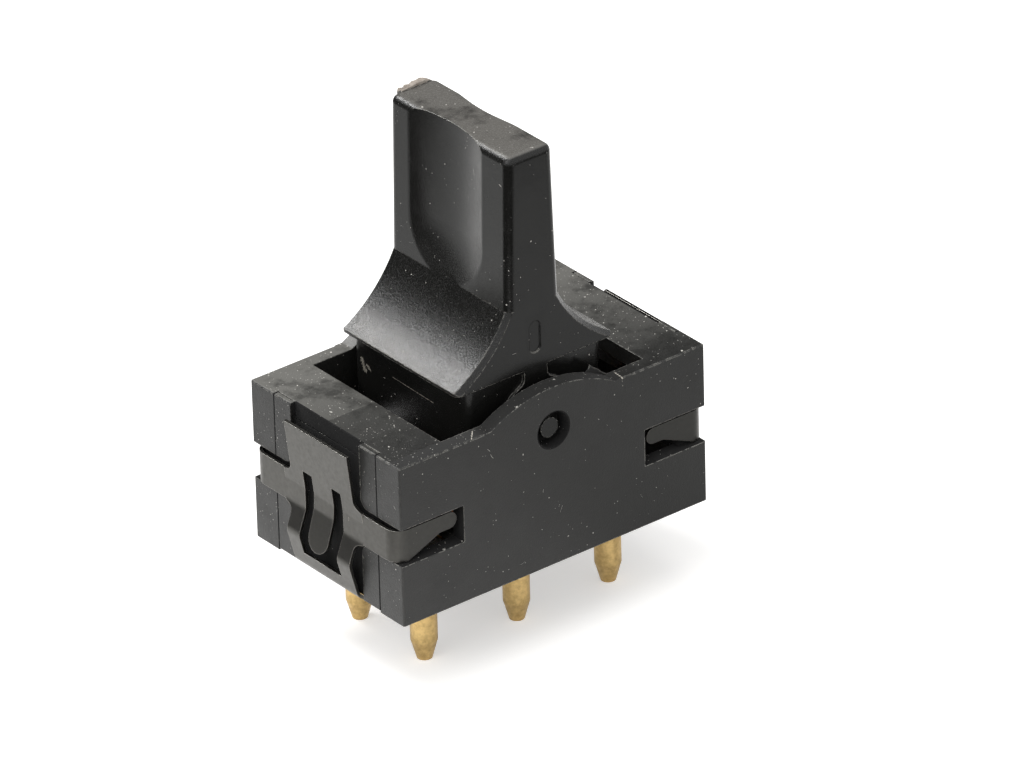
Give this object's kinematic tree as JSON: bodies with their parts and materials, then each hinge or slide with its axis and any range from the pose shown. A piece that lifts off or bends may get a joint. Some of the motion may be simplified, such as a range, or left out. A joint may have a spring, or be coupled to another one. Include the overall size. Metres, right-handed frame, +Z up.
{
  "type": "power seat switch",
  "caption": "Power seat rocker switch: a finger-scooped lever on a flared skirt tilts in a black box housing with spring clips and round brass terminal pins.",
  "frame": {"origin": "under the middle of the housing, level with the tips of the terminal pins", "axes": "+X along the housing's length, across the pivot, +Y along the pivot axis, +Z up along the lever; the long side that the picture shows faces -Y, its visible end -X"},
  "size_m": [0.0376, 0.0214, 0.0492],
  "materials": {
    "cover_plastic": "black moulded plastic, satin, dusty",
    "base_plastic": "black moulded plastic, satin, dusty",
    "lever_plastic": "black moulded plastic, semi-gloss, dusty",
    "clip_steel": "blackened spring steel, dull",
    "pin_brass": "dull, mottled",
    "contact_silver": "silver, satin",
    "rocker_copper": "copper strip, satin",
    "plunger_plastic": "natural acetal, satin",
    "spring_steel": "drawn wire"
  },
  "bodies": {
    "housing": {"cover": "cover_plastic", "base": "base_plastic", "clip_left": "clip_steel", "clip_right": "clip_steel", "pin_front_left": "pin_brass", "fixed_contact_front_left": "contact_silver", "pin_front_middle": "pin_brass", "pin_front_right": "pin_brass", "fixed_contact_front_right": "contact_silver", "pin_back_left": "pin_brass", "fixed_contact_back_left": "contact_silver", "pin_back_middle": "pin_brass", "pin_back_right": "pin_brass", "fixed_contact_back_right": "contact_silver"},
    "lever": {"paddle": "lever_plastic", "spring_front": "spring_steel", "spring_back": "spring_steel"},
    "rocker_front": {"rocker_front": "rocker_copper", "moving_contact_front_left": "contact_silver", "moving_contact_front_right": "contact_silver"},
    "plunger_front": {"plunger_front": "plunger_plastic"},
    "rocker_back": {"rocker_back": "rocker_copper", "moving_contact_back_left": "contact_silver", "moving_contact_back_right": "contact_silver"},
    "plunger_back": {"plunger_back": "plunger_plastic"}
  },
  "joints": [
    {"name": "lever_tilt", "type": "hinge", "parent": "housing", "child": "lever", "pos_m": [0, 0, 0.0219], "axis": [0, 1, 0], "range_deg": [-12, 12], "stiffness_Nm_per_rad": 0.5},
    {"name": "rocker_front_tilt", "type": "hinge", "parent": "housing", "child": "rocker_front", "pos_m": [0, -0.0047, 0.0129], "axis": [0, 1, 0], "range_deg": [-4.5, 4.5]},
    {"name": "plunger_front_slide", "type": "slide", "parent": "lever", "child": "plunger_front", "axis": [0, 0, 1], "range_m": [0, 0.0008], "stiffness_N_per_m": 500, "springref_m": -0.002, "deforming": ["spring_front"]},
    {"name": "rocker_back_tilt", "type": "hinge", "parent": "housing", "child": "rocker_back", "pos_m": [0, 0.0047, 0.0129], "axis": [0, 1, 0], "range_deg": [-4.5, 4.5]},
    {"name": "plunger_back_slide", "type": "slide", "parent": "lever", "child": "plunger_back", "axis": [0, 0, 1], "range_m": [0, 0.0008], "stiffness_N_per_m": 500, "springref_m": -0.002, "deforming": ["spring_back"]}
  ],
  "couplings": [
    {"joint": "rocker_front_tilt", "follows": "lever_tilt", "ratio": -0.375},
    {"joint": "rocker_back_tilt", "follows": "lever_tilt", "ratio": -0.375}
  ]
}
